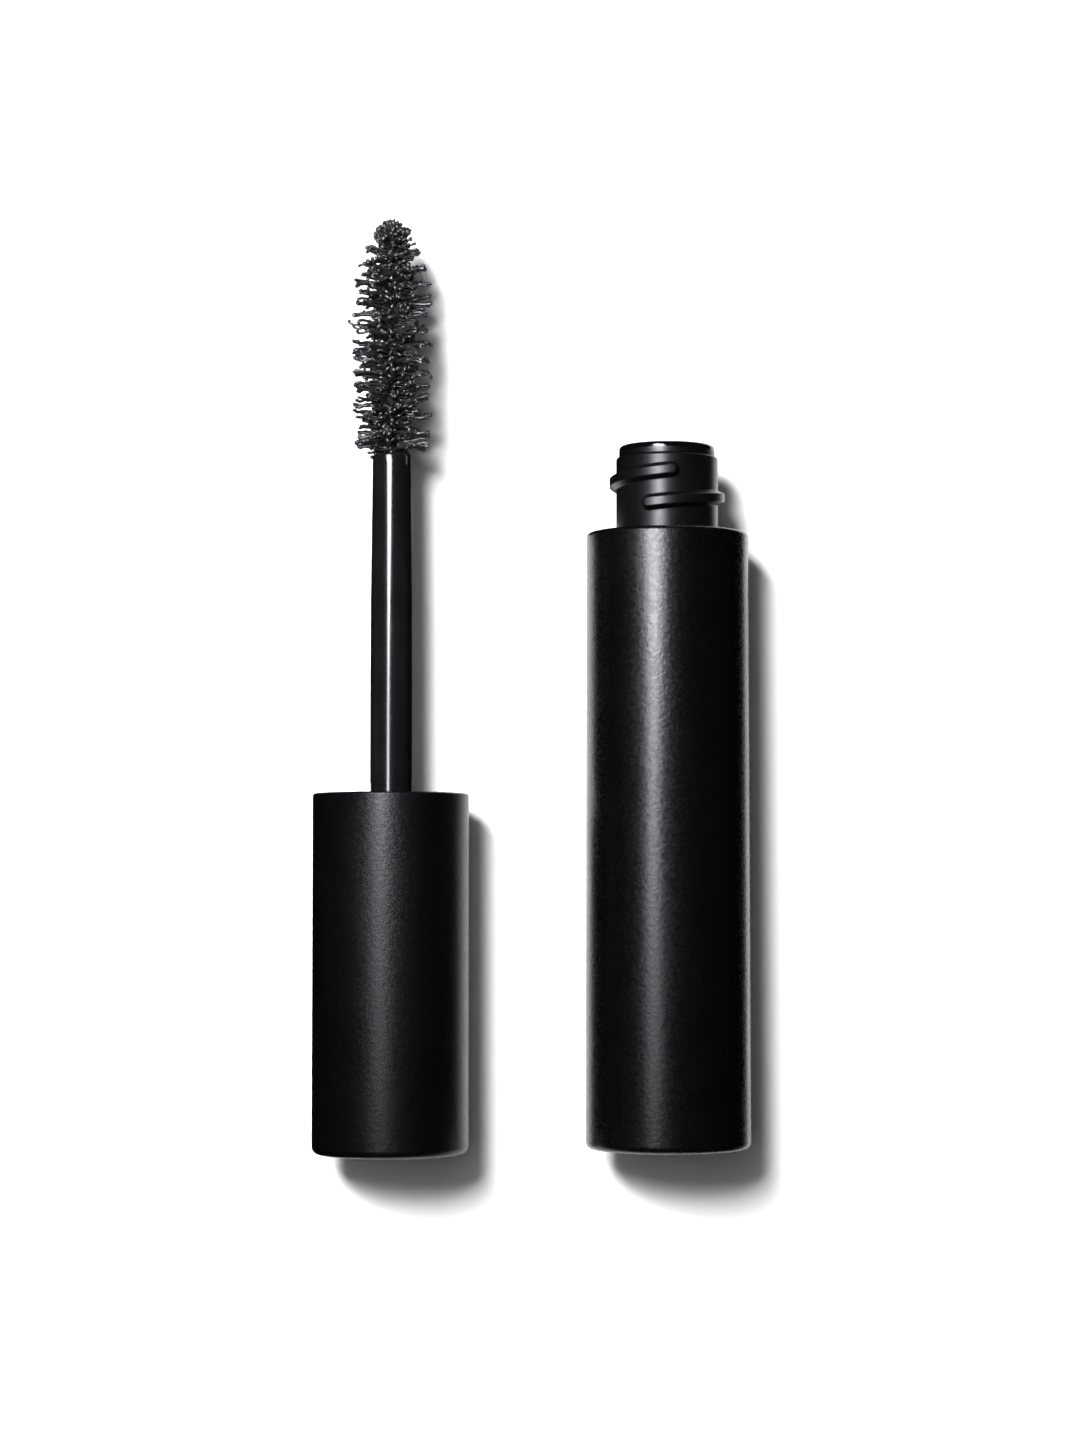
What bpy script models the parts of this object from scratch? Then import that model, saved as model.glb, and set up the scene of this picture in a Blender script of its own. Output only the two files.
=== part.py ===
"""Mascara tube, opened: the bottle and its wand lie side by side.

Row frame: +Z up, both tube axes along +Y, the origin on the surface that the
two pieces lie on, at the centre of their common footprint.  Metres.

Bottle: outer_sleeve, base_plug, inner_vial, wiper, mascara_fill.
Wand:   cap_shell, cap_collar, closure_gasket, rod, core_wire_a,
        core_wire_b, bristles.

Each turned piece is drawn in its tube's own frame, +Z along the axis with
z = 0 at the closed end, and the tube's empty lays it down along +Y.
"""
import bpy
import bmesh
import math
from mathutils import Vector

MM = 0.001
STEPS = 32                      # facets round every turned piece

# ---------------------------------------------------------------- bottle (mm)
BODY_LEN = 72.80                # base to shoulder
BODY_R_TOP = 9.60               # a slight draft: wider at the base
BODY_R_BASE = 9.75
SLEEVE_BORE_R = 8.00
SHOULDER_T = 1.50               # the sleeve's inward flange at the neck
SHOULDER_HOLE_R = 6.30
NECK_H = 10.30                  # shoulder to the top of the wiper's flange
NECK_TOP = BODY_LEN + NECK_H
NECK_R = 6.05
NECK_BORE_R = 5.00
WIPER_FLANGE_T = 1.25
WIPER_FLANGE_R = 5.70
WIPER_ORIFICE_R = 2.60
VIAL_R = 7.70
VIAL_BORE_R = 6.60
FILL_TOP = 59.0
FILL_CHANNEL_R = 4.65

# -------------------------------------------------------- thread, right-hand
THREAD_PITCH = 3.60
THREAD_CREST_R = 6.85
THREAD_START_DEG = 246.0        # lower end, seen from the closed end upwards
THREAD_SWEEP_DEG = 390.0
THREAD_LOW_Z = BODY_LEN + 2.95

# ------------------------------------------------------------------ wand (mm)
CAP_LEN = 42.50
CAP_R = 9.25
CAP_BORE_R = 8.00
CAP_END_T = 1.60
COLLAR_R = 7.85
COLLAR_BORE_R = 7.05
COLLAR_MOUTH_Z = CAP_LEN - 0.35
WEB_TOP_Z = CAP_LEN - NECK_H - 0.90
WEB_T = 1.45
ROD_FOOT_Z = 22.30
ROD_EXPOSED = 40.50
ROD_R_CAP = 2.47
ROD_R_TIP = 2.26
ROD_R_MID = 2.44
ROD_MID = 23.0                  # from the cap's mouth: the taper grows here
ROD_TOP_Z = CAP_LEN + ROD_EXPOSED
WIRE_BORE_R = 0.85
WIRE_BORE_DEPTH = 8.0
BRUSH_LEN = 27.70
BRUSH_TOP_Z = ROD_TOP_Z + BRUSH_LEN
WIRE_STRAND_R = 0.33
WIRE_ORBIT_R = 0.37
TWIST_PITCH = 3.50
BRUSH_BORE_R = 1.00

# ------------------------------------------------------------- layout (mm)
WAND_LEN = CAP_LEN + ROD_EXPOSED + BRUSH_LEN
AXIS_GAP = 32.80                # between the two axes
WAND_X = -(AXIS_GAP + BODY_R_BASE - CAP_R) / 2.0
BOTTLE_X = WAND_X + AXIS_GAP
WAND_END_Y = -WAND_LEN / 2.0
BOTTLE_BASE_Y = WAND_END_Y + 0.63
TIP_CLEARANCE = 3.0             # brush tip to wiper once the wand is turned
PIVOT_X = (WAND_X + BOTTLE_X) / 2.0
PIVOT_Z = (CAP_R + BODY_R_BASE) / 2.0
PIVOT_Y = (WAND_END_Y + WAND_LEN + BOTTLE_BASE_Y + NECK_TOP + TIP_CLEARANCE) / 2.0


# ------------------------------------------------------------------- helpers
def clear_scene():
    for obj in list(bpy.data.objects):
        bpy.data.objects.remove(obj, do_unlink=True)
    for coll in list(bpy.data.collections):
        bpy.data.collections.remove(coll)


def make_collection(name):
    coll = bpy.data.collections.new(name)
    bpy.context.scene.collection.children.link(coll)
    return coll


def make_material(name, colour, roughness, metallic=0.0):
    mat = bpy.data.materials.new(name)
    mat.use_nodes = True
    bsdf = mat.node_tree.nodes["Principled BSDF"]
    bsdf.inputs["Base Color"].default_value = (*colour, 1.0)
    bsdf.inputs["Roughness"].default_value = roughness
    bsdf.inputs["Metallic"].default_value = metallic
    return mat


def make_empty(name, location_mm, rotation=(0.0, 0.0, 0.0), parent=None):
    empty = bpy.data.objects.new(name, None)
    empty.empty_display_size = 0.005
    PARTS.objects.link(empty)
    empty.parent = parent
    empty.location = [v * MM for v in location_mm]
    empty.rotation_euler = rotation
    return empty


def add_object(name, mesh, parent, material=None, collection=None):
    obj = bpy.data.objects.new(name, mesh)
    (collection or PARTS).objects.link(obj)
    obj.parent = parent
    if material is not None:
        mesh.materials.append(material)
    return obj


def turned(name, profile_mm, parent, material, closed=False):
    """A turned piece: the profile in the XZ plane and a Screw modifier.

    An open profile starts and ends on the axis; a closed one makes a ring.
    Both run down the outer side, top to bottom.
    """
    verts = [(r * MM, 0.0, z * MM) for r, z in profile_mm]
    edges = [(i, i + 1) for i in range(len(verts) - 1)]
    if closed:
        edges.append((len(verts) - 1, 0))
    mesh = bpy.data.meshes.new(name)
    mesh.from_pydata(verts, edges, [])
    obj = add_object(name, mesh, parent, material)
    screw = obj.modifiers.new("turn", 'SCREW')
    screw.axis = 'Z'
    screw.angle = math.tau
    screw.steps = STEPS
    screw.render_steps = STEPS
    screw.use_merge_vertices = True
    screw.merge_threshold = 0.00001
    screw.use_smooth_shade = True
    return obj


def arc(cx, cz, radius, start_deg, end_deg, count):
    """Points of a fillet in the profile plane."""
    out = []
    for i in range(count + 1):
        a = math.radians(start_deg + (end_deg - start_deg) * i / count)
        out.append((cx + radius * math.cos(a), cz + radius * math.sin(a)))
    return out


def thread_ridge(name, section, low_z, start_deg, sweep_deg, pitch, parent,
                 inward=False, steps=44):
    """A helical ridge whose section is (radius, offset along the axis) points.

    The ends run out over a short angle, so they are blunt and rounded.  The
    section keeps its root and shrinks towards it at the ends.
    """
    root = section[0][0]
    bm = bmesh.new()
    rings = []
    for i in range(steps + 1):
        t = i / steps
        ang = math.radians(start_deg + sweep_deg * t)
        edge = min(t, 1.0 - t) * sweep_deg / 13.0
        k = 1.0 if edge >= 1.0 else math.sqrt(max(0.0, 1.0 - (1.0 - edge) ** 2))
        k = 0.18 + 0.82 * k
        zc = low_z + pitch * sweep_deg * t / 360.0
        ring = []
        for r, dz in section:
            rr = root + (r - root) * k
            zz = zc + dz * (0.55 + 0.45 * k)
            ring.append(bm.verts.new((rr * MM * math.cos(ang), rr * MM * math.sin(ang), zz * MM)))
        rings.append(ring)
    n = len(section)
    for a, b in zip(rings, rings[1:]):
        for j in range(n):
            bm.faces.new((a[j], a[(j + 1) % n], b[(j + 1) % n], b[j]))
    bm.faces.new(list(reversed(rings[0])))
    bm.faces.new(rings[-1])
    bmesh.ops.recalc_face_normals(bm, faces=bm.faces)
    mesh = bpy.data.meshes.new(name)
    bm.to_mesh(mesh)
    bm.free()
    obj = add_object(name, mesh, parent, collection=CUTTERS)
    obj.hide_render = True
    obj.display_type = 'WIRE'
    return obj


def unite(obj, other):
    mod = obj.modifiers.new("ridge", 'BOOLEAN')
    mod.operation = 'UNION'
    mod.solver = 'EXACT'
    mod.object = other


def wire(name, points_mm, radius_mm, parent, material):
    curve = bpy.data.curves.new(name, 'CURVE')
    curve.dimensions = '3D'
    curve.bevel_depth = radius_mm * MM
    curve.bevel_resolution = 1
    curve.use_fill_caps = True
    spline = curve.splines.new('POLY')
    spline.points.add(len(points_mm) - 1)
    for p, (x, y, z) in zip(spline.points, points_mm):
        p.co = (x * MM, y * MM, z * MM, 1.0)
    obj = bpy.data.objects.new(name, curve)
    PARTS.objects.link(obj)
    obj.parent = parent
    curve.materials.append(material)
    return obj


def brush_envelope(s):
    """Radius of the bristle tips, s mm down from the brush's tip."""
    knots = [(0.0, 1.25), (0.6, 1.85), (2.1, 2.60), (4.2, 3.35), (5.8, 4.00),
             (7.6, 4.40), (11.0, 4.48), (20.0, 4.45), (BRUSH_LEN - 0.8, 4.20),
             (BRUSH_LEN, 3.70)]
    for (s0, r0), (s1, r1) in zip(knots, knots[1:]):
        if s <= s1:
            t = (s - s0) / (s1 - s0)
            return r0 + (r1 - r0) * t
    return knots[-1][1]


def bristle_body(name, parent, material):
    """The brush as one solid: a bullet whose surface carries the two helical
    ranks of bristles, with the wire's bore through it."""
    n_th, n_z = 24, 46
    low, high = ROD_TOP_Z + 0.15, BRUSH_TOP_Z
    bm = bmesh.new()
    outer, inner = [], []
    for i in range(n_z + 1):
        z = low + (high - low) * i / n_z
        env = brush_envelope(BRUSH_TOP_Z - z)
        ring = []
        for j in range(n_th):
            th = math.tau * j / n_th
            wave = 0.5 - 0.5 * math.cos(2.0 * (th - math.tau * z / TWIST_PITCH))
            r = env * (1.0 - 0.20 * wave)
            ring.append(bm.verts.new((r * MM * math.cos(th), r * MM * math.sin(th), z * MM)))
        outer.append(ring)
    for z in (low, high):
        inner.append([bm.verts.new((BRUSH_BORE_R * MM * math.cos(math.tau * j / n_th),
                                    BRUSH_BORE_R * MM * math.sin(math.tau * j / n_th),
                                    z * MM)) for j in range(n_th)])
    for a, b in zip(outer, outer[1:]):
        for j in range(n_th):
            k = (j + 1) % n_th
            bm.faces.new((a[j], a[k], b[k], b[j]))
    for j in range(n_th):
        k = (j + 1) % n_th
        bm.faces.new((inner[0][k], inner[0][j], inner[1][j], inner[1][k]))
        bm.faces.new((outer[0][k], outer[0][j], inner[0][j], inner[0][k]))
        bm.faces.new((outer[-1][j], outer[-1][k], inner[1][k], inner[1][j]))
    bmesh.ops.recalc_face_normals(bm, faces=bm.faces)
    mesh = bpy.data.meshes.new(name)
    bm.to_mesh(mesh)
    bm.free()
    mesh.shade_smooth()
    return add_object(name, mesh, parent, material)


# --------------------------------------------------------------------- scene
clear_scene()
PARTS = make_collection("mascara_tube")
CUTTERS = make_collection("mascara_tube_cutters")

satin_black = make_material("satin_black_plastic", (0.006, 0.006, 0.007), 0.38)
cap_black = make_material("cap_black_plastic", (0.006, 0.006, 0.007), 0.40)
plug_black = make_material("plug_black_plastic", (0.008, 0.008, 0.009), 0.45)
vial_black = make_material("vial_black_plastic", (0.007, 0.007, 0.008), 0.30)
wiper_black = make_material("wiper_black_rubber", (0.012, 0.012, 0.013), 0.45)
liner_black = make_material("liner_black_plastic", (0.008, 0.008, 0.009), 0.35)
gasket_grey = make_material("gasket_foam", (0.45, 0.45, 0.44), 0.85)
rod_black = make_material("rod_gloss_plastic", (0.004, 0.004, 0.005), 0.12)
wire_steel = make_material("wire_steel", (0.45, 0.45, 0.46), 0.28, 1.0)
bristle_black = make_material("bristle_nylon", (0.010, 0.010, 0.011), 0.35)
fill_black = make_material("mascara_paste", (0.006, 0.005, 0.005), 0.22)

LAY = (-math.pi / 2.0, 0.0, 0.0)         # the tube's +Z to the row's +Y
bottle_axis = make_empty("bottle_axis", (BOTTLE_X, BOTTLE_BASE_Y, BODY_R_BASE), LAY)
wand_pivot = make_empty("wand_pivot", (PIVOT_X, PIVOT_Y, PIVOT_Z))
wand_axis = make_empty("wand_axis", (WAND_X - PIVOT_X, WAND_END_Y - PIVOT_Y, CAP_R - PIVOT_Z),
                       LAY, wand_pivot)

# ------------------------------------------------------------ bottle pieces
neck_rim = NECK_TOP - WIPER_FLANGE_T - 0.05
shoulder_low = BODY_LEN - SHOULDER_T

sleeve_profile = [(SHOULDER_HOLE_R, BODY_LEN)]
sleeve_profile += arc(BODY_R_TOP - 0.35, BODY_LEN - 0.35, 0.35, 90, 0, 2)
sleeve_profile += arc(BODY_R_BASE - 0.90, 0.90, 0.90, 0, -90, 4)
sleeve_profile += [(SLEEVE_BORE_R, 0.0), (SLEEVE_BORE_R, shoulder_low),
                   (SHOULDER_HOLE_R, shoulder_low)]
turned("outer_sleeve", sleeve_profile, bottle_axis, satin_black, closed=True)

turned("base_plug",
       [(0.0, 1.40), (7.15, 1.40), (7.15, 4.00), (7.60, 4.00), (7.85, 3.70),
        (7.85, 0.20), (7.65, 0.0), (0.0, 0.0)],
       bottle_axis, plug_black)

vial = turned("inner_vial",
              [(0.0, 2.95), (5.20, 2.95), (5.95, 3.70), (5.95, 5.00),
               (VIAL_BORE_R, 6.00), (VIAL_BORE_R, shoulder_low - 2.10),
               (NECK_BORE_R, shoulder_low - 0.50), (NECK_BORE_R, neck_rim),
               (NECK_R - 0.30, neck_rim), (NECK_R, neck_rim - 0.30),
               (NECK_R, shoulder_low - 0.20), (VIAL_R - 0.40, shoulder_low - 0.20),
               (VIAL_R, shoulder_low - 0.60), (VIAL_R, 5.10), (6.95, 4.35),
               (6.95, 2.20), (6.50, 1.75), (0.0, 1.75)],
              bottle_axis, vial_black)
male = thread_ridge("neck_thread_ridge",
                    [(5.70, -0.80), (6.05, -0.76), (THREAD_CREST_R, -0.42),
                     (THREAD_CREST_R, 0.42), (6.05, 0.76), (5.70, 0.80)],
                    THREAD_LOW_Z, THREAD_START_DEG, THREAD_SWEEP_DEG, THREAD_PITCH,
                    bottle_axis)
unite(vial, male)

turned("wiper",
       [(4.45, NECK_TOP), (5.40, NECK_TOP), (WIPER_FLANGE_R, NECK_TOP - 0.28),
        (WIPER_FLANGE_R, NECK_TOP - WIPER_FLANGE_T), (4.80, NECK_TOP - WIPER_FLANGE_T),
        (4.80, NECK_TOP - 3.0), (4.92, NECK_TOP - 3.3), (4.80, NECK_TOP - 3.6),
        (4.80, NECK_TOP - 6.9), (3.25, NECK_TOP - 9.0), (WIPER_ORIFICE_R, NECK_TOP - 9.0),
        (WIPER_ORIFICE_R, NECK_TOP - 8.3), (4.10, NECK_TOP - 5.6),
        (4.20, NECK_TOP - 0.35)],
       bottle_axis, wiper_black, closed=True)

turned("mascara_fill",
       [(0.0, 4.70), (3.40, 4.70), (FILL_CHANNEL_R, 6.60), (FILL_CHANNEL_R, FILL_TOP - 0.8),
        (5.30, FILL_TOP), (6.00, FILL_TOP), (6.40, FILL_TOP - 0.5), (6.40, 6.30),
        (5.75, 5.10), (5.75, 3.90), (5.10, 3.20), (0.0, 3.20)],
       bottle_axis, fill_black)

# -------------------------------------------------------------- wand pieces
shell_profile = [(0.0, CAP_END_T), (CAP_BORE_R - 0.6, CAP_END_T), (CAP_BORE_R, CAP_END_T + 0.6),
                 (CAP_BORE_R, CAP_LEN - 0.20), (CAP_BORE_R + 0.18, CAP_LEN)]
shell_profile += arc(CAP_R - 0.25, CAP_LEN - 0.25, 0.25, 90, 0, 2)
shell_profile += arc(CAP_R - 0.95, 0.95, 0.95, 0, -90, 4)
shell_profile += [(0.0, 0.0)]
turned("cap_shell", shell_profile, wand_axis, cap_black)

web_low = WEB_TOP_Z - WEB_T
collar = turned("cap_collar",
                [(COLLAR_BORE_R + 0.25, COLLAR_MOUTH_Z), (COLLAR_R - 0.15, COLLAR_MOUTH_Z),
                 (COLLAR_R, COLLAR_MOUTH_Z - 0.15), (COLLAR_R, web_low),
                 (3.90, web_low), (3.90, ROD_FOOT_Z - 0.4), (2.72, ROD_FOOT_Z - 0.4),
                 (2.72, WEB_TOP_Z), (COLLAR_BORE_R, WEB_TOP_Z),
                 (COLLAR_BORE_R, COLLAR_MOUTH_Z - 0.35)],
                wand_axis, liner_black, closed=True)
female = thread_ridge("collar_thread_ridge",
                      [(7.35, 0.62), (COLLAR_BORE_R, 0.60), (6.42, 0.30),
                       (6.42, -0.30), (COLLAR_BORE_R, -0.60), (7.35, -0.62)],
                      CAP_LEN - 7.40, 20.0, 400.0, THREAD_PITCH, wand_axis)
unite(collar, female)

turned("closure_gasket",
       [(2.85, WEB_TOP_Z + 0.85), (6.80, WEB_TOP_Z + 0.85), (6.80, WEB_TOP_Z + 0.05),
        (2.85, WEB_TOP_Z + 0.05)],
       wand_axis, gasket_grey, closed=True)

turned("rod",
       [(0.0, ROD_TOP_Z - WIRE_BORE_DEPTH), (WIRE_BORE_R, ROD_TOP_Z - WIRE_BORE_DEPTH),
        (WIRE_BORE_R, ROD_TOP_Z), (ROD_R_TIP - 0.45, ROD_TOP_Z),
        (ROD_R_TIP - 0.12, ROD_TOP_Z - 0.13), (ROD_R_TIP, ROD_TOP_Z - 0.45),
        (ROD_R_MID, CAP_LEN + ROD_MID), (ROD_R_CAP, CAP_LEN + 11.0), (ROD_R_CAP, CAP_LEN), (ROD_R_CAP, ROD_FOOT_Z + 0.35),
        (ROD_R_CAP - 0.35, ROD_FOOT_Z), (0.0, ROD_FOOT_Z)],
       wand_axis, rod_black)

wire_low = ROD_TOP_Z - WIRE_BORE_DEPTH + 0.3
wire_high = BRUSH_TOP_Z - 0.35
per_turn = 10
count = int(round((wire_high - wire_low) / TWIST_PITCH * per_turn))
for tag, phase in (("a", 0.0), ("b", math.pi)):
    pts = []
    for i in range(count + 1):
        z = wire_low + (wire_high - wire_low) * i / count
        ang = phase + math.tau * z / TWIST_PITCH
        pts.append((WIRE_ORBIT_R * math.cos(ang), WIRE_ORBIT_R * math.sin(ang), z))
    wire("core_wire_" + tag, pts, WIRE_STRAND_R, wand_axis, wire_steel)

bristle_body("bristles", wand_axis, bristle_black)

bpy.context.view_layer.update()
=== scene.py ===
"""Mascara tube, opened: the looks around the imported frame.

Every turned piece is drawn again on a fine mesh in its own tube's frame
(+Z along the axis, z = 0 at the closed end, millimetres) and laid on the
tube's axis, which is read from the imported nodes.
"""

import math

import bpy
import numpy as np
from mathutils import Matrix, Vector


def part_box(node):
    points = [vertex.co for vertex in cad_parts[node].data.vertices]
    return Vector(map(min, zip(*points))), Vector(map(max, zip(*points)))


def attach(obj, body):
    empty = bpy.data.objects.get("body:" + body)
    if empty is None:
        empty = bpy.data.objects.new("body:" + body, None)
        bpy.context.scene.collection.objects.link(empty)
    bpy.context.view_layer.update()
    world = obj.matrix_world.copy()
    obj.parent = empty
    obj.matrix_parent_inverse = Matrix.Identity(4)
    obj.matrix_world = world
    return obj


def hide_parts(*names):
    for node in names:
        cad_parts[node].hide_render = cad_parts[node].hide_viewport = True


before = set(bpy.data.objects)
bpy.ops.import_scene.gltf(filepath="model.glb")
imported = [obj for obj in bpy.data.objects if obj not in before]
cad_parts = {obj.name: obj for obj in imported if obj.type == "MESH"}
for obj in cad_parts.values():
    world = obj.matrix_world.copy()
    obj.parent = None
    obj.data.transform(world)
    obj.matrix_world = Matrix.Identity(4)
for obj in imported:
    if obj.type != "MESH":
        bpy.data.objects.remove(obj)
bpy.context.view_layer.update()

MM = 0.001
TAU = math.tau

# ------------------------------------------------------------------ dimensions
BODY_LEN, NECK_H = 72.80, 10.30
NECK_TOP = BODY_LEN + NECK_H
BODY_R_TOP, BODY_R_BASE = 9.60, 9.75
NECK_R, NECK_BORE_R = 6.05, 5.00
WIPER_FLANGE_T, WIPER_FLANGE_R, WIPER_ORIFICE_R = 1.25, 5.70, 2.60
THREAD_PITCH, THREAD_CREST_R = 3.60, 6.85
THREAD_START_DEG, THREAD_SWEEP_DEG = 248.0, 385.0
THREAD_LOW_Z = BODY_LEN + 3.08
CAP_LEN, CAP_R, CAP_BORE_R = 42.50, 9.25, 8.00
COLLAR_R, COLLAR_BORE_R = 7.85, 7.05
WEB_TOP_Z = CAP_LEN - NECK_H - 0.90
ROD_FOOT_Z, ROD_EXPOSED = 22.30, 40.50
ROD_R_CAP, ROD_R_MID, ROD_R_TIP = 2.47, 2.44, 2.26
ROD_TOP_Z = CAP_LEN + ROD_EXPOSED
BRUSH_LEN = 27.70
BRUSH_TOP_Z = ROD_TOP_Z + BRUSH_LEN
TWIST_PITCH = 3.50

# --------------------------------------------------------- the tubes' own axes
s_lo, s_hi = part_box("outer_sleeve")
c_lo, c_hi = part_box("cap_shell")
BOTTLE = Vector(((s_lo.x + s_hi.x) / 2, s_lo.y, (s_lo.z + s_hi.z) / 2))
WAND = Vector(((c_lo.x + c_hi.x) / 2, c_lo.y, (c_lo.z + c_hi.z) / 2))


# --------------------------------------------------------------- mesh helpers
def place(points_mm, base):
    """Tube frame, mm, to row frame, m: the tube's +Z lies along +Y."""
    p = np.asarray(points_mm, float) * MM
    out = np.empty_like(p)
    out[:, 0] = base.x + p[:, 0]
    out[:, 1] = base.y + p[:, 2]
    out[:, 2] = base.z - p[:, 1]
    return out


def rounded(points, n=6):
    """A profile of (r, z[, fillet]) with each fillet drawn as an arc."""
    out = []
    count = len(points)
    for i, p in enumerate(points):
        f = p[2] if len(p) > 2 else 0.0
        here = np.array(p[:2], float)
        if f <= 0.0:
            out.append(tuple(here))
            continue
        a = np.array(points[i - 1][:2], float) - here
        b = np.array(points[(i + 1) % count][:2], float) - here
        la, lb = np.linalg.norm(a), np.linalg.norm(b)
        a, b = a / la, b / lb
        half = math.acos(max(-1.0, min(1.0, float(a @ b)))) / 2.0
        d = min(f / math.tan(half), 0.49 * la, 0.49 * lb)
        r = d * math.tan(half)
        bis = (a + b) / np.linalg.norm(a + b)
        centre = here + bis * (r / math.sin(half))
        p0, p1 = here + a * d, here + b * d
        v0, v1 = p0 - centre, p1 - centre
        a0 = math.atan2(v0[1], v0[0])
        da = math.atan2(v1[1], v1[0]) - a0
        while da > math.pi:
            da -= TAU
        while da < -math.pi:
            da += TAU
        for k in range(n + 1):
            t = a0 + da * k / n
            out.append((centre[0] + r * math.cos(t), centre[1] + r * math.sin(t)))
    return out


def fine(profile, step, z_low, z_high):
    """Adds rings along straight stretches of a profile between two heights."""
    out = [profile[0]]
    for (r0, z0), (r1, z1) in zip(profile, profile[1:]):
        d = math.hypot(r1 - r0, z1 - z0)
        inside = z_low <= min(z0, z1) and max(z0, z1) <= z_high
        n = max(1, int(math.ceil(d / step))) if inside else 1
        for k in range(1, n + 1):
            out.append((r0 + (r1 - r0) * k / n, z0 + (z1 - z0) * k / n))
    return out


def make_object(name, verts, faces, smooth_deg=32.0):
    mesh = bpy.data.meshes.new(name)
    mesh.from_pydata([tuple(v) for v in verts], [], faces)
    mesh.validate()
    mesh.update()
    mesh.shade_smooth()
    mesh.set_sharp_from_angle(angle=math.radians(smooth_deg))
    obj = bpy.data.objects.new(name, mesh)
    bpy.context.scene.collection.objects.link(obj)
    return obj


def lathe(name, profile, base, seg=160, closed=False, shape=None, smooth_deg=32.0):
    """Turns a profile.  shape(r, z, theta) may change the radius and height."""
    verts, rings = [], []
    th = np.arange(seg) * TAU / seg
    for r, z in profile:
        if r < 1e-9:
            rings.append([len(verts)])
            verts.append((0.0, 0.0, z))
            continue
        rr, zz = np.full(seg, r), np.full(seg, z)
        if shape is not None:
            rr, zz = shape(rr, zz, th)
        start = len(verts)
        verts.extend(zip(rr * np.cos(th), rr * np.sin(th), zz))
        rings.append(list(range(start, start + seg)))
    faces = []
    pairs = list(zip(rings, rings[1:]))
    if closed:
        pairs.append((rings[-1], rings[0]))
    for a, b in pairs:
        if len(a) == 1 and len(b) == 1:
            continue
        for j in range(seg):
            k = (j + 1) % seg
            if len(a) == 1:
                faces.append((a[0], b[j], b[k]))
            elif len(b) == 1:
                faces.append((a[j], b[0], a[k]))
            else:
                faces.append((a[j], b[j], b[k], a[k]))
    return make_object(name, place(verts, base), faces, smooth_deg)


def tubes(paths, radii, sides):
    """Closed round tubes along paths (n, k, 3) with radii (n, k): one vertex
    array and one face list, with flat end caps."""
    n, k, _ = paths.shape
    tan = np.gradient(paths, axis=1)
    tan /= np.linalg.norm(tan, axis=2, keepdims=True) + 1e-12
    ref = np.zeros_like(tan)
    ref[:, :, 0] = 0.31
    ref[:, :, 1] = 0.23
    ref[:, :, 2] = 0.92
    ref /= np.linalg.norm(ref[0, 0])
    u = np.cross(tan, ref)
    u /= np.linalg.norm(u, axis=2, keepdims=True) + 1e-12
    v = np.cross(tan, u)
    ang = np.arange(sides) * TAU / sides
    ca, sa = np.cos(ang), np.sin(ang)
    ring = (u[:, :, None, :] * ca[None, None, :, None] + v[:, :, None, :] * sa[None, None, :, None])
    verts = paths[:, :, None, :] + ring * radii[:, :, None, None]
    verts = verts.reshape(-1, 3)
    base = np.arange(n)[:, None, None] * (k * sides)
    row = np.arange(k - 1)[None, :, None] * sides
    col = np.arange(sides)[None, None, :]
    nxt = (col + 1) % sides
    a = base + row + col
    b = base + row + nxt
    c = base + row + sides + nxt
    d = base + row + sides + col
    quads = np.stack([a, b, c, d], axis=-1).reshape(-1, 4)
    faces = [tuple(q) for q in quads.tolist()]
    for i in range(n):
        s = i * k * sides
        faces.append(tuple(range(s + sides - 1, s - 1, -1)))
        e = s + (k - 1) * sides
        faces.append(tuple(range(e, e + sides)))
    return verts, faces


def smoothstep(x):
    x = np.clip(x, 0.0, 1.0)
    return x * x * (3.0 - 2.0 * x)


def helix_distance(theta, z, low_z, start_deg, sweep_deg, pitch, radius):
    """Distance in the unrolled surface from a helix of finite length."""
    lead = pitch / TAU
    slope = math.atan2(lead, radius)
    best = np.full_like(z, 1e9)
    t0, sweep = math.radians(start_deg), math.radians(sweep_deg)
    th = np.mod(theta - t0, TAU)
    for turn in range(-1, int(sweep_deg // 360) + 2):
        t = th + TAU * turn
        along_z = z - (low_z + lead * t)
        along_s = np.zeros_like(z)
        # unrolled coordinates along and across the helix
        x = radius * t
        s = x * math.cos(slope) + (z - low_z) * math.sin(slope)
        d = along_z * math.cos(slope)
        length = radius * sweep / math.cos(slope)
        over = np.where(s < 0, -s, np.where(s > length, s - length, along_s))
        best = np.minimum(best, np.hypot(d, over))
    return best


def noise_wave(points, seed, count=10, low=0.4, high=2.4):
    """A smooth seeded field: a sum of plane waves, about -1 to 1."""
    rng = np.random.default_rng(seed)
    total = np.zeros(len(points))
    for _ in range(count):
        k = rng.normal(size=3)
        k *= rng.uniform(low, high) / np.linalg.norm(k)
        total += np.sin(points @ k + rng.uniform(0, TAU))
    return total / math.sqrt(count / 2.0) / 1.6


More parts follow.
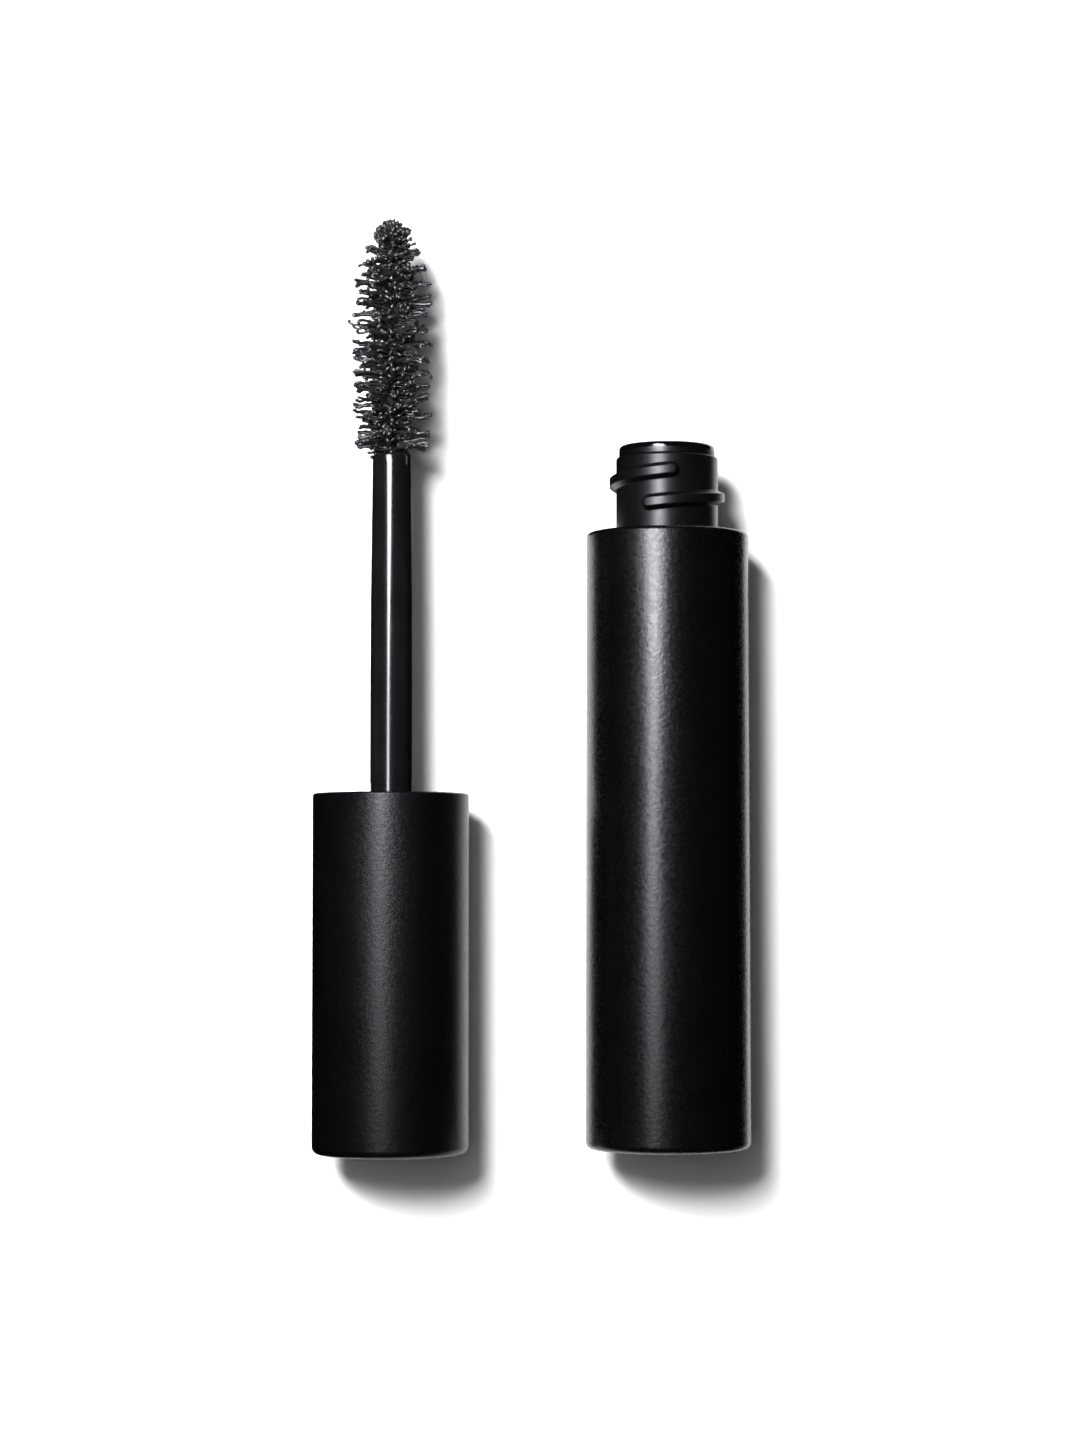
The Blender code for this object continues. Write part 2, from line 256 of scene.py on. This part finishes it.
# ------------------------------------------------------------------ materials
class Nodes:
    def __init__(self, name):
        self.mat = bpy.data.materials.new(name)
        self.mat.use_nodes = True
        self.tree = self.mat.node_tree
        self.bsdf = self.tree.nodes["Principled BSDF"]
        coords = self.tree.nodes.new("ShaderNodeTexCoord")
        self.coord = coords.outputs["Object"]

    def link(self, a, b):
        self.tree.links.new(a, b)

    def noise(self, scale, detail=2.0, rough=0.5, stretch=None, distortion=0.0):
        n = self.tree.nodes.new("ShaderNodeTexNoise")
        n.inputs["Scale"].default_value = scale
        n.inputs["Detail"].default_value = detail
        n.inputs["Roughness"].default_value = rough
        n.inputs["Distortion"].default_value = distortion
        if stretch is None:
            self.link(self.coord, n.inputs["Vector"])
        else:
            m = self.tree.nodes.new("ShaderNodeMapping")
            m.inputs["Scale"].default_value = stretch
            self.link(self.coord, m.inputs["Vector"])
            self.link(m.outputs["Vector"], n.inputs["Vector"])
        return n.outputs["Fac"]

    def ramp(self, fac, stops):
        r = self.tree.nodes.new("ShaderNodeValToRGB")
        els = r.color_ramp.elements
        while len(els) < len(stops):
            els.new(0.5)
        for e, (pos, val) in zip(els, stops):
            e.position = pos
            e.color = (*val, 1.0) if isinstance(val, tuple) else (val, val, val, 1.0)
        self.link(fac, r.inputs["Fac"])
        return r.outputs["Color"]

    def span(self, fac, low, high, f_low=0.3, f_high=0.7):
        m = self.tree.nodes.new("ShaderNodeMapRange")
        m.inputs["From Min"].default_value = f_low
        m.inputs["From Max"].default_value = f_high
        m.inputs["To Min"].default_value = low
        m.inputs["To Max"].default_value = high
        self.link(fac, m.inputs["Value"])
        return m.outputs["Result"]

    def math(self, op, a, b):
        m = self.tree.nodes.new("ShaderNodeMath")
        m.operation = op
        for i, v in enumerate((a, b)):
            if isinstance(v, (int, float)):
                m.inputs[i].default_value = v
            else:
                self.link(v, m.inputs[i])
        return m.outputs["Value"]

    def bump(self, height, distance, strength=1.0, normal=None):
        b = self.tree.nodes.new("ShaderNodeBump")
        b.inputs["Strength"].default_value = strength
        b.inputs["Distance"].default_value = distance
        self.link(height, b.inputs["Height"])
        if normal is not None:
            self.link(normal, b.inputs["Normal"])
        return b.outputs["Normal"]

    def set(self, name, value):
        self.bsdf.inputs[name].default_value = value

    def feed(self, name, socket):
        self.link(socket, self.bsdf.inputs[name])


def satin(name, tint, rough_low, rough_high, grain_mm, grain_depth_mm, spec=0.5, polish_y=None):
    """Moulded black plastic with a fine spark-eroded grain.  Above polish_y
    (along the tube) the moulding is a polished lip."""
    m = Nodes(name)
    tone = m.noise(180.0, 4.0, 0.55)
    m.feed("Base Color", m.ramp(tone, [(0.30, tuple(c * 0.80 for c in tint)),
                                       (0.70, tuple(c * 1.25 for c in tint))]))
    grain = m.noise(1.0 / (grain_mm * MM), 3.0, 0.62)
    handled = m.noise(75.0, 3.0, 0.5)
    rough = m.math('ADD', m.span(handled, rough_low, rough_high),
                   m.span(grain, -0.03, 0.03, 0.35, 0.65))
    if polish_y is not None:
        place_xyz = m.tree.nodes.new("ShaderNodeSeparateXYZ")
        m.link(m.coord, place_xyz.inputs[0])
        rough = m.math('MULTIPLY', rough,
                       m.span(place_xyz.outputs["Y"], 1.0, 0.30, polish_y - 0.15 * MM, polish_y + 0.05 * MM))
    m.feed("Roughness", rough)
    m.set("Specular IOR Level", spec)
    m.feed("Normal", m.bump(grain, grain_depth_mm * MM, 1.0))
    return m.mat


def gloss(name, tint, rough_low, rough_high, wave_depth_mm=0.004, coat=0.0):
    """Smooth black moulding: faint flow lines and dust-fine roughness."""
    m = Nodes(name)
    tone = m.noise(240.0, 3.0, 0.5)
    m.feed("Base Color", m.ramp(tone, [(0.3, tuple(c * 0.8 for c in tint)),
                                       (0.7, tuple(c * 1.2 for c in tint))]))
    wear = m.noise(900.0, 4.0, 0.6, stretch=(1.0, 0.25, 1.0))
    m.feed("Roughness", m.span(wear, rough_low, rough_high))
    m.set("Specular IOR Level", 0.5)
    if coat > 0.0:
        m.set("Coat Weight", coat)
        m.set("Coat Roughness", 0.06)
    flow = m.noise(420.0, 2.0, 0.5, stretch=(1.0, 0.35, 1.0))
    m.feed("Normal", m.bump(flow, wave_depth_mm * MM, 1.0))
    return m.mat


def foam(name, tint):
    m = Nodes(name)
    cells = m.tree.nodes.new("ShaderNodeTexVoronoi")
    cells.inputs["Scale"].default_value = 5200.0
    m.link(m.coord, cells.inputs["Vector"])
    dist = cells.outputs["Distance"]
    m.feed("Base Color", m.ramp(dist, [(0.0, tuple(c * 0.70 for c in tint)), (0.6, tint)]))
    m.set("Roughness", 0.85)
    m.feed("Normal", m.bump(dist, 0.05 * MM, 0.8))
    return m.mat


def steel(name):
    m = Nodes(name)
    tone = m.noise(800.0, 3.0, 0.6, stretch=(1.0, 0.2, 1.0))
    m.feed("Base Color", m.ramp(tone, [(0.3, (0.05, 0.05, 0.052)), (0.7, (0.16, 0.16, 0.165))]))
    m.set("Metallic", 1.0)
    m.feed("Roughness", m.span(tone, 0.30, 0.46))
    draw = m.noise(3000.0, 2.0, 0.5, stretch=(1.0, 0.1, 1.0))
    m.feed("Normal", m.bump(draw, 0.006 * MM, 0.7))
    return m.mat


def paste(name):
    m = Nodes(name)
    tone = m.noise(500.0, 4.0, 0.6)
    m.feed("Base Color", m.ramp(tone, [(0.3, (0.004, 0.0035, 0.0035)), (0.7, (0.010, 0.009, 0.009))]))
    m.feed("Roughness", m.span(m.noise(1500.0, 3.0, 0.6), 0.14, 0.34))
    m.feed("Normal", m.bump(m.noise(1400.0, 4.0, 0.6), 0.10 * MM, 0.7))
    return m.mat


def filament(name):
    """Black nylon, slightly loaded with dried paste."""
    m = Nodes(name)
    load = m.noise(1600.0, 3.0, 0.6)
    m.feed("Base Color", m.ramp(load, [(0.35, (0.004, 0.004, 0.0045)), (0.68, (0.016, 0.016, 0.0175))]))
    m.feed("Roughness", m.span(load, 0.36, 0.52))
    m.set("Specular IOR Level", 1.0)
    m.feed("Normal", m.bump(m.noise(6000.0, 3.0, 0.6), 0.02 * MM, 0.8))
    return m.mat


SATIN = (0.0010, 0.0010, 0.0012)
mat_sleeve = satin("sleeve_satin_black", SATIN, 0.25, 0.30, 0.52, 0.0300, 0.275)
mat_cap = satin("cap_satin_black", SATIN, 0.320, 0.370, 0.52, 0.0330, 0.190)
mat_plug = satin("plug_black", (0.0022, 0.0022, 0.0024), 0.34, 0.42, 0.50, 0.030, 0.4)
mat_vial = satin("vial_black", (0.0020, 0.0020, 0.0022), 0.31, 0.37, 0.50, 0.002, 0.26)
mat_wiper = satin("wiper_black", (0.0014, 0.0014, 0.0016), 0.30, 0.36, 0.45, 0.002, 0.32,
                  polish_y=BOTTLE.y + (NECK_TOP - 0.50) * MM)
mat_liner = gloss("liner_black", (0.0022, 0.0022, 0.0024), 0.24, 0.34, 0.004)
# the rod's black is its own colour lifted to a grey: painted reflection of a dim room on the rod's body, on top of
# the real gloss
mat_rod = gloss("rod_gloss_black", (0.0046, 0.0046, 0.0050), 0.14, 0.18, 0.0010)
mat_gasket = foam("gasket_foam", (0.46, 0.46, 0.45))
mat_wire = steel("wire_drawn_steel")
mat_paste = paste("mascara_paste")
mat_bristle = filament("bristle_nylon")


def dress(obj, material, body, nodes):
    obj.data.materials.clear()
    obj.data.materials.append(material)
    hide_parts(*nodes)
    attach(obj, body)
    return obj


# --------------------------------------------------------------- bottle pieces
shoulder_low = BODY_LEN - 1.50
sleeve = lathe("sleeve", rounded([
    (6.30, BODY_LEN, 0.10), (BODY_R_TOP, BODY_LEN, 0.55), (BODY_R_BASE, 0.0, 0.95),
    (8.00, 0.0, 0.12), (8.00, shoulder_low), (6.30, shoulder_low)], 9),
    BOTTLE, 224, closed=True)
dress(sleeve, mat_sleeve, "bottle", ["outer_sleeve"])

plug = lathe("base_disc", rounded([
    (0.0, 1.40), (7.15, 1.40, 0.15), (7.15, 4.00, 0.12), (7.60, 4.00, 0.10), (7.85, 3.70),
    (7.85, 0.0, 0.16), (6.72, 0.0, 0.06), (6.60, 0.14, 0.05), (6.30, 0.14, 0.05),
    (6.18, 0.0, 0.06), (0.95, 0.0, 0.05), (0.85, 0.12, 0.05), (0.34, 0.12, 0.04),
    (0.28, 0.03, 0.03), (0.0, 0.03)], 5), BOTTLE, 160)
dress(plug, mat_plug, "bottle", ["base_plug"])

neck_rim = NECK_TOP - WIPER_FLANGE_T - 0.05


def neck_thread(r, z, th):
    on_neck = (r > NECK_R - 0.02) & (z > shoulder_low) & (z < neck_rim)
    d = helix_distance(th, z, THREAD_LOW_Z, THREAD_START_DEG, THREAD_SWEEP_DEG,
                       THREAD_PITCH, 6.45)
    height = (THREAD_CREST_R - NECK_R) * smoothstep((0.98 - d) / 0.54)
    return np.where(on_neck, r + height, r), z


vial_profile = rounded([
    (0.0, 2.95), (5.20, 2.95, 0.3), (5.95, 3.70, 0.3), (5.95, 5.00, 0.3),
    (6.60, 6.00, 0.3), (6.60, shoulder_low - 2.10, 0.4), (5.00, shoulder_low - 0.50, 0.3),
    (5.00, neck_rim, 0.10), (NECK_R, neck_rim, 0.28), (NECK_R, BODY_LEN + 0.6),
    (NECK_R, shoulder_low - 0.20, 0.10),
    (7.70, shoulder_low - 0.20, 0.40), (7.70, 5.10, 0.2), (6.95, 4.35, 0.2),
    (6.95, 1.75, 0.40), (0.0, 1.75)], 6)
vial_profile = fine(vial_profile, 0.055, BODY_LEN + 0.59, neck_rim)
vial = lathe("vial", vial_profile, BOTTLE, 320, shape=neck_thread, smooth_deg=60.0)
dress(vial, mat_vial, "bottle", ["inner_vial"])

T = NECK_TOP
wiper = lathe("wiper_insert", rounded([
    (4.20, T + 0.10, 0.32), (WIPER_FLANGE_R, T + 0.10, 0.46), (WIPER_FLANGE_R, T - WIPER_FLANGE_T, 0.06),
    (4.80, T - WIPER_FLANGE_T), (4.80, T - 3.0, 0.1), (4.92, T - 3.3, 0.1), (4.80, T - 3.6, 0.1),
    (4.80, T - 6.9, 0.5), (3.25, T - 9.0, 0.15), (WIPER_ORIFICE_R, T - 9.0, 0.12),
    (WIPER_ORIFICE_R, T - 8.3, 0.3), (4.10, T - 5.6, 0.6)], 8),
    BOTTLE, 192, closed=True)
dress(wiper, mat_wiper, "bottle", ["wiper"])


def paste_shape(r, z, th):
    p = np.stack([r * np.cos(th), r * np.sin(th), z], axis=1)
    inner = (r < 4.9) & (z > 6.0)
    top = z > 58.0
    w = noise_wave(p, 5, 14, 0.7, 3.0)
    return (np.where(inner, r + 0.05 - 0.22 * np.abs(w), r),
            np.where(top, z - 0.35 * np.abs(noise_wave(p, 9, 10, 0.6, 2.0)), z))


fill = lathe("paste_fill", fine(rounded([
    (0.0, 4.70), (3.40, 4.70, 0.5), (4.60, 6.60, 0.8), (4.60, 58.2, 0.7), (5.30, 58.9, 0.3),
    (6.00, 58.9, 0.4), (6.40, 58.4), (6.40, 6.30), (5.75, 5.10), (5.75, 3.90), (5.10, 3.20),
    (0.0, 3.20)], 5), 0.7, 6.0, 60.0), BOTTLE, 96, shape=paste_shape, smooth_deg=80.0)
dress(fill, mat_paste, "bottle", ["mascara_fill"])

# ----------------------------------------------------------------- wand pieces
cap = lathe("cap", rounded([
    (0.0, 1.60), (CAP_BORE_R, 1.60, 0.6), (CAP_BORE_R, CAP_LEN, 0.22),
    (CAP_R, CAP_LEN, 0.30), (CAP_R, 0.0, 0.95), (0.0, 0.0)], 9), WAND, 224)
dress(cap, mat_cap, "wand", ["cap_shell"])

web_low = WEB_TOP_Z - 1.45


def collar_thread(r, z, th):
    on_bore = (np.abs(r - COLLAR_BORE_R) < 0.02) & (z > WEB_TOP_Z + 0.4) & (z < CAP_LEN - 0.6)
    d = helix_distance(th, z, CAP_LEN - 7.40, 20.0, 400.0, THREAD_PITCH, 6.8)
    height = 0.63 * smoothstep((0.66 - d) / 0.32)
    return np.where(on_bore, r - height, r), z


collar_profile = rounded([
    (COLLAR_BORE_R, CAP_LEN - 0.35, 0.22), (COLLAR_R, CAP_LEN - 0.35, 0.15),
    (COLLAR_R, web_low, 0.2), (3.90, web_low, 0.3), (3.90, ROD_FOOT_Z - 0.4, 0.1),
    (2.72, ROD_FOOT_Z - 0.4, 0.1), (2.72, WEB_TOP_Z, 0.12), (COLLAR_BORE_R, WEB_TOP_Z, 0.25)], 6)
collar_profile = fine(collar_profile + [collar_profile[0]], 0.07, WEB_TOP_Z, CAP_LEN)[:-1]
collar = lathe("cap_liner", collar_profile, WAND, 224, closed=True, shape=collar_thread,
               smooth_deg=60.0)
dress(collar, mat_liner, "wand", ["cap_collar"])

G = WEB_TOP_Z
gasket = lathe("gasket", rounded([
    (2.85, G + 0.85, 0.10), (6.80, G + 0.85, 0.12), (6.80, G + 0.05, 0.08), (2.85, G + 0.05, 0.08)], 4),
    WAND, 160, closed=True)
dress(gasket, mat_gasket, "wand", ["closure_gasket"])

rod = lathe("rod_stem", rounded([
    (0.0, ROD_TOP_Z - 8.0), (0.85, ROD_TOP_Z - 8.0), (0.85, ROD_TOP_Z, 0.12),
    (ROD_R_TIP - 0.03, ROD_TOP_Z, 0.42), (ROD_R_TIP, ROD_TOP_Z - 1.2, 0.6), (ROD_R_MID, CAP_LEN + 23.0, 6.0), (ROD_R_CAP, CAP_LEN + 11.0, 4.0),
    (ROD_R_CAP, ROD_FOOT_Z, 0.35), (0.0, ROD_FOOT_Z)], 8), WAND, 128)
dress(rod, mat_rod, "wand", ["rod"])

wire_low, wire_high = ROD_TOP_Z - 7.7, BRUSH_TOP_Z - 0.35
for tag, phase in (("a", 0.0), ("b", math.pi)):
    z = np.linspace(wire_low, wire_high, int((wire_high - wire_low) / TWIST_PITCH * 28))
    ang = phase + TAU * z / TWIST_PITCH
    path = np.stack([0.37 * np.cos(ang), 0.37 * np.sin(ang), z], axis=1)[None]
    v, f = tubes(path, np.full((1, len(z)), 0.345), 14)
    strand = make_object("twisted_wire_" + tag, place(v, WAND), f, 50.0)
    dress(strand, mat_wire, "wand", ["core_wire_" + tag])


# -------------------------------------------------------------------- bristles
def envelope(s):
    """Radius of the bristle tips, s mm down from the brush's tip."""
    return np.interp(s, [0.0, 0.4, 1.1, 2.0, 3.0, 4.0, 6.0, 7.6, 11.0, 20.0, BRUSH_LEN - 0.8, BRUSH_LEN],
                     [1.15, 1.55, 2.15, 2.70, 3.15, 3.60, 4.25, 4.58, 4.68, 4.66, 4.45, 4.20])


def filament_path(rng, z0, phi, lean, reach, way, curl_r, curl_turn, root=0.25):
    """One crimped filament: out from the core, then curled over at its tip.
    The curl bends towards the direction `way`, turned about the filament."""
    # the longest straight run that stays inside the brush's outline
    runs = np.arange(0.3, 7.0, 0.05)
    below_top = BRUSH_TOP_Z + 0.30 - (z0 + runs * math.sin(lean))
    inside = (root + runs * math.cos(lean) <= reach * envelope(np.maximum(below_top, 0.0))) & (below_top > 0.0)
    straight = runs[max(0, int(np.argmin(inside)) - 1)]
    straight = max(0.35, straight - curl_r * min(1.0, curl_turn))
    s = np.concatenate([straight * np.array([0.0, 0.36, 0.70, 0.90]),
                        straight + curl_r * curl_turn * np.arange(1, 8) / 7.0])
    fine_s = np.linspace(0.0, s[-1], 60)
    ds = fine_s[1] - fine_s[0]
    wave = rng.uniform(0.16, 0.46) * np.sin(TAU * fine_s / rng.uniform(1.5, 2.6) + rng.uniform(0, TAU))
    bend = wave * np.clip(fine_s / 0.8, 0.0, 1.0) + np.clip(fine_s - straight * 0.93, 0.0, None) / curl_r
    wave2 = rng.uniform(0.12, 0.40) * np.sin(TAU * fine_s / rng.uniform(1.5, 2.8) + rng.uniform(0, TAU))
    out_dir = np.array([math.cos(phi) * math.cos(lean), math.sin(phi) * math.cos(lean), math.sin(lean)])
    tang = np.array([-math.sin(phi), math.cos(phi), 0.0])
    up = np.cross(out_dir, tang)
    w = math.cos(way) * tang + math.sin(way) * up
    w2 = np.cross(out_dir, w)
    step = (np.cos(bend)[:, None] * out_dir + np.sin(bend)[:, None] * w + np.sin(wave2)[:, None] * w2) * ds
    start = np.array([root * math.cos(phi), root * math.sin(phi), z0])
    run = start + np.concatenate([np.zeros((1, 3)), np.cumsum(step[:-1], axis=0)])
    path = np.stack([np.interp(s, fine_s, run[:, k]) for k in range(3)], axis=1)
    path[:, 2] = np.minimum(path[:, 2], BRUSH_TOP_Z + 0.30)
    return path


def bristle_paths():
    """Two ranks of long filaments, which the twisted wire winds into a helix,
    over a bed of shorter ones that stand out on every side."""
    rng = np.random.default_rng(23)
    low, high = ROD_TOP_Z + 0.30, BRUSH_TOP_Z - 1.15
    turns = (high - low) / TWIST_PITCH
    paths, radii = [], []

    def add(z0, phi, lean, reach, way, curl_r, curl_turn, thick):
        path = filament_path(rng, z0, phi, lean, reach, way, curl_r, curl_turn)
        paths.append(path)
        along = np.linspace(0.0, 1.0, len(path))
        taper = np.interp(along, [0.0, 0.25, 0.55, 0.80, 0.94, 1.0], [0.62, 0.80, 1.0, 1.0, 0.92, 0.60])
        if rng.random() < 0.22:
            taper = taper * np.interp(along, [0.0, 0.6, 0.86, 1.0], [1.0, 1.0, 1.35, 1.25])
        radii.append(thick * taper)

    n_tufts = int(turns * 14)
    for i in range(n_tufts):
        base_z = low + (high - low) * (i + 0.5) / n_tufts
        for side in (0.0, math.pi):
            phi = TAU * base_z / TWIST_PITCH + side + rng.normal(0.0, 0.15)
            zc = base_z + rng.normal(0.0, 0.06)
            s = BRUSH_TOP_Z - zc
            lean = rng.normal(0.0, 0.08) + 1.20 * math.exp(-(s - 1.1) / 1.7)
            reach = 1.0 + rng.normal(0.0, 0.045)
            way = rng.uniform(0, TAU)
            turn = rng.uniform(0.25, 1.45)
            curl = rng.uniform(0.30, 0.46)
            for _ in range(int(rng.integers(1, 4))):
                add(zc + rng.normal(0.0, 0.07), phi + rng.normal(0.0, 0.04), lean + rng.normal(0.0, 0.030),
                    reach * (1.0 + rng.normal(0.0, 0.045)), way + rng.normal(0.0, 0.25),
                    curl * rng.uniform(0.85, 1.15), turn * rng.uniform(0.8, 1.2), rng.uniform(0.190, 0.260))
    n_bed = int(turns * 78)
    for i in range(n_bed):
        zc = low + (high - low) * (i + 0.5) / n_bed + rng.normal(0.0, 0.10)
        s = BRUSH_TOP_Z - zc
        add(zc, rng.uniform(0, TAU), rng.normal(0.0, 0.20) + 1.15 * math.exp(-(s - 1.1) / 1.7),
            rng.uniform(0.46, 0.76), rng.uniform(0, TAU),
            rng.uniform(0.26, 0.40), rng.uniform(0.9, 2.8), rng.uniform(0.185, 0.250))
    # the crown: short ones that point almost straight up
    for i in range(60):
        down = rng.uniform(0.0, 2.6)
        add(high - down, rng.uniform(0, TAU), rng.uniform(0.75, 1.42) - 0.16 * down, rng.uniform(0.90, 1.0),
            rng.uniform(0, TAU), rng.uniform(0.26, 0.40), rng.uniform(0.2, 1.2), rng.uniform(0.160, 0.220))
    return np.array(paths), np.array(radii)


paths, radii = bristle_paths()
v, f = tubes(paths, radii, 5)
brush = make_object("brush_filaments", place(v, WAND), f, 75.0)
dress(brush, mat_bristle, "wand", ["bristles"])
print("bristles:", len(paths), "faces", len(f))

# ----------------------------------------------------------------------- stage
floor_mesh = bpy.data.meshes.new("floor")
floor_n = 96
floor_verts = [(0.0, 0.0, 0.0)] + [(6.0 * math.cos(TAU * i / floor_n), 6.0 * math.sin(TAU * i / floor_n), 0.0)
                                   for i in range(floor_n)]
floor_mesh.from_pydata(floor_verts, [], [(0, 1 + i, 1 + (i + 1) % floor_n) for i in range(floor_n)])
floor = bpy.data.objects.new("floor", floor_mesh)
bpy.context.scene.collection.objects.link(floor)
floor.location.z = -0.00002
fm = Nodes("floor_white")
fm.set("Base Color", (0.88, 0.88, 0.88, 1.0))
fm.set("Roughness", 0.75)
fm.set("Specular IOR Level", 0.2)
# the paper is lit to an even white: what the key loses with distance is added
KEY_AT, KEY_TO, KEY_SIZE, KEY_POWER = Vector((-0.160, 0.186, 0.520)), Vector((0.0, 0.0, 0.010)), (0.110, 0.225), 7.6
FLOOR_ALBEDO = 0.88
apart = fm.tree.nodes.new("ShaderNodeVectorMath")
apart.operation = 'SUBTRACT'
fm.link(fm.coord, apart.inputs[0])
apart.inputs[1].default_value = KEY_AT
far = fm.tree.nodes.new("ShaderNodeVectorMath")
far.operation = 'LENGTH'
fm.link(apart.outputs["Vector"], far.inputs[0])
aim = fm.tree.nodes.new("ShaderNodeVectorMath")
aim.operation = 'DOT_PRODUCT'
fm.link(apart.outputs["Vector"], aim.inputs[0])
aim.inputs[1].default_value = (KEY_TO - KEY_AT).normalized()
spread = fm.math('POWER', far.outputs["Value"], 4.0)
lit = fm.math('DIVIDE', fm.math('MULTIPLY', aim.outputs["Value"],
                                FLOOR_ALBEDO / math.pi * KEY_POWER / 4.0 * KEY_AT[2]), spread)
lack = fm.math('MAXIMUM', fm.math('SUBTRACT', 1.02, lit), 0.0)
ray = fm.tree.nodes.new("ShaderNodeLightPath")
fm.set("Emission Color", (1.0, 1.0, 1.0, 1.0))
fm.feed("Emission Strength", fm.math('MULTIPLY', lack, ray.outputs["Is Camera Ray"]))
floor.data.materials.append(fm.mat)

world = bpy.data.worlds.new("studio")
bpy.context.scene.world = world
world.use_nodes = True
wt = world.node_tree
bg = wt.nodes["Background"]
out = wt.nodes["World Output"]
bg.inputs["Color"].default_value = (1.0, 1.0, 1.0, 1.0)
bg.inputs["Strength"].default_value = 0.004
seen = wt.nodes.new("ShaderNodeBackground")
seen.inputs["Color"].default_value = (1.0, 1.0, 1.0, 1.0)
seen.inputs["Strength"].default_value = 0.95
mix = wt.nodes.new("ShaderNodeMixShader")
path_node = wt.nodes.new("ShaderNodeLightPath")
wt.links.new(path_node.outputs["Is Camera Ray"], mix.inputs["Fac"])
wt.links.new(bg.outputs["Background"], mix.inputs[1])
wt.links.new(seen.outputs["Background"], mix.inputs[2])
wt.links.new(mix.outputs["Shader"], out.inputs["Surface"])


def softbox(name, location, target, size_x, size_y, power, spread_deg=180.0):
    light = bpy.data.lights.new(name, 'AREA')
    light.shape = 'RECTANGLE'
    light.size, light.size_y = size_x, size_y
    light.energy = power
    light.spread = math.radians(spread_deg)
    obj = bpy.data.objects.new(name, light)
    bpy.context.scene.collection.objects.link(obj)
    obj.location = location
    direction = Vector(target) - Vector(location)
    obj.rotation_euler = direction.to_track_quat('-Z', 'Y').to_euler()
    obj.visible_camera = False
    return obj


# the key and a weak wide fill give the shadows; the panels beside the key are
# what the black surfaces mirror, brightest towards the brush end
key = softbox("key", KEY_AT, KEY_TO, KEY_SIZE[0], KEY_SIZE[1], KEY_POWER)
key.visible_glossy = False
fill_light = softbox("fill", (-0.070, 0.035, 0.300), KEY_TO, 0.260, 0.260, 0.27)
fill_light.visible_glossy = False
ceiling = softbox("ceiling", (0.0, 0.0, 0.70), (0.0, 0.0, 0.0), 2.0, 2.0, 0.28)
ceiling.visible_glossy = False
PANEL_WIDTH = 0.068
for number, (centre, length, radiance) in enumerate((((-0.0615, 0.0753, 0.200), 0.0982, 37.0),
                                                     ((-0.0615, 0.0070, 0.200), 0.0385, 15.0),
                                                     ((-0.0590, -0.0464, 0.200), 0.0683, 3.8))):
    panel = softbox("panel_%d" % number, centre, KEY_TO, PANEL_WIDTH, length,
                    4.0 * PANEL_WIDTH * length * radiance)
    panel.visible_diffuse = False
    panel.data.color = (0.965, 0.980, 1.065)


def flag(name, low, high, z):
    """A black card beside the object, seen only in its reflections."""
    mesh = bpy.data.meshes.new(name)
    mesh.from_pydata([(low[0], low[1], z), (high[0], low[1], z), (high[0], high[1], z), (low[0], high[1], z)],
                     [], [(0, 1, 2, 3)])
    obj = bpy.data.objects.new(name, mesh)
    bpy.context.scene.collection.objects.link(obj)
    fl = Nodes(name)
    fl.set("Base Color", (0.0, 0.0, 0.0, 1.0))
    fl.set("Roughness", 1.0)
    fl.set("Specular IOR Level", 0.0)
    obj.data.materials.append(fl.mat)
    obj.visible_camera = False
    obj.visible_diffuse = False
    obj.visible_shadow = False
    obj.visible_transmission = False
    return obj


left_edge, mouth_y = WAND.x - 0.0094, WAND.y + CAP_LEN * MM + 0.0015
between, away, ends = BOTTLE.x - 0.0235, 1.2, 0.5
flag("black_card_left", (-away, -ends), (left_edge, mouth_y), 0.0003)
flag("black_card_rod", (-away, mouth_y), (between, ends), 0.0003)
rod_side, rod_end = WAND.x + 0.0042, WAND.y + (ROD_TOP_Z - 1.0) * MM
upright = flag("black_card_rod_side", (0.0, WAND.y + (CAP_LEN + 0.1) * MM), (0.0116, rod_end), 0.0)
upright.rotation_euler = (0.0, -math.pi / 2.0, 0.0)
upright.location = (rod_side, 0.0, 0.0)
flag("black_card_neck", (between, BOTTLE.y + (BODY_LEN + 2.0) * MM), (BOTTLE.x - 0.0064, ends), 0.0003)
flag("black_card_right", (BOTTLE.x + 0.0200, -ends), (away, ends), 0.0003)

# ---------------------------------------------------------------------- camera
cam_data = bpy.data.cameras.new("camera")
cam_data.sensor_fit = 'VERTICAL'
cam_data.sensor_height = 36.0
cam_data.sensor_width = 27.0
cam_data.lens = 84.4
cam_data.clip_start = 0.01
cam_data.clip_end = 50.0
camera = bpy.data.objects.new("camera", cam_data)
bpy.context.scene.collection.objects.link(camera)
camera.location = (0.00103, -0.0255, 0.4095)
camera.rotation_euler = (math.radians(3.06), 0.0, 0.0)
bpy.context.scene.camera = camera
bpy.context.scene.view_settings.view_transform = 'Standard'
bpy.context.scene.view_settings.look = 'None'
